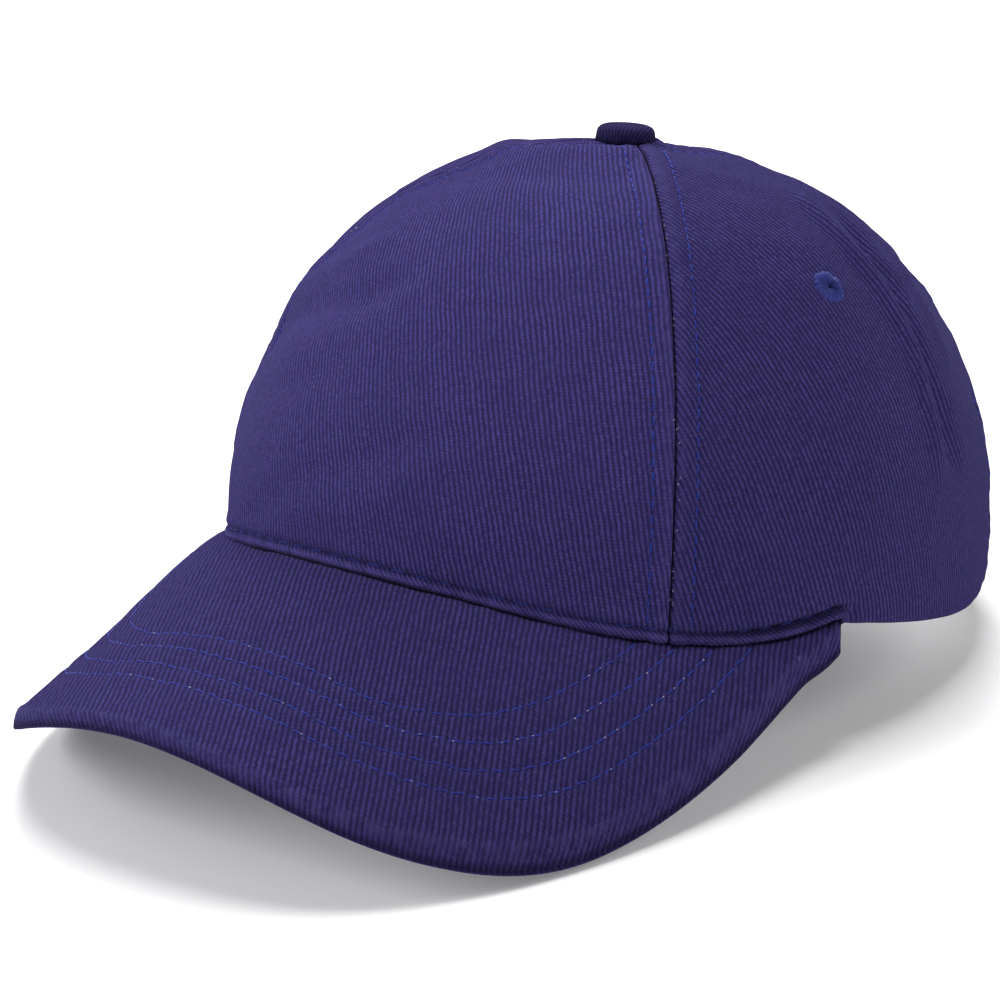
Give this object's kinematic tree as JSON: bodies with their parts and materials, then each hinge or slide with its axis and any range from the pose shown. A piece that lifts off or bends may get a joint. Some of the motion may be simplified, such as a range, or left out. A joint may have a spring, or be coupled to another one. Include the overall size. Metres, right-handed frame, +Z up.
{
  "type": "baseball cap",
  "caption": "Structured twill baseball cap: dome crown with covered top button and eyelets, curved stitched visor and adjustable hook-and-loop strap across an arched back opening.",
  "frame": {"origin": "centre of the footprint's bounding box, on the surface that the visor's lower edges and the rear hem rest on", "axes": "+Z up from the surface, -Y to the front (the visor), +X to the wearer's left"},
  "size_m": [0.1686, 0.2594, 0.124],
  "materials": {
    "twill_front": "brushed cotton twill, dark violet-blue, slightly lighter on the crown front",
    "twill": "brushed cotton twill, dark violet-blue",
    "eyelet_thread": "brighter blue embroidery thread",
    "buckram": "stiff white open-mesh buckram",
    "sweatband_twill": "cotton twill",
    "foam": "thin non-woven padding",
    "label_cloth": "blank white woven label",
    "seam_tape": "woven cotton tape",
    "visor_board": "moulded polyethylene board",
    "loop_tape": "napped loop tape",
    "hook_tape": "hook tape",
    "button_steel": "plain stamped steel"
  },
  "bodies": {
    "cap": {"front_panel": "twill_front", "side_panel_left": "twill", "side_panel_right": "twill", "back_panel_left": "twill", "back_panel_right": "twill", "eyelet_side_left": "eyelet_thread", "eyelet_side_right": "eyelet_thread", "eyelet_back_left": "eyelet_thread", "eyelet_back_right": "eyelet_thread", "front_buckram": "buckram", "sweatband": "sweatband_twill", "sweatband_padding": "foam", "care_label": "label_cloth", "seam_tape_front_left": "seam_tape", "seam_tape_rear_left": "seam_tape", "seam_tape_front_right": "seam_tape", "seam_tape_rear_right": "seam_tape", "seam_tape_centre_back": "seam_tape", "arch_facing": "seam_tape", "visor_top_cover": "twill", "visor_board": "visor_board", "visor_edge_fold": "twill", "visor_under_cover": "twill", "closure_anchor_left": "twill", "closure_anchor_right": "twill", "button_cover": "twill", "button_shell": "button_steel", "button_rivet": "button_steel"},
    "strap_tab": {"closure_tab": "twill", "hook_tape": "hook_tape"},
    "strap_tongue": {"closure_tongue": "twill", "loop_tape": "loop_tape"}
  },
  "joints": [
    {"name": "tab_flex", "type": "hinge", "parent": "cap", "child": "strap_tab", "pos_m": [0.03743, 0.11496, 0.02027], "axis": [0, 0, 1], "range_deg": [-50, 0]},
    {"name": "tongue_flex", "type": "hinge", "parent": "cap", "child": "strap_tongue", "pos_m": [-0.03743, 0.11496, 0.02027], "axis": [0, 0, 1], "range_deg": [-30, 0]}
  ]
}
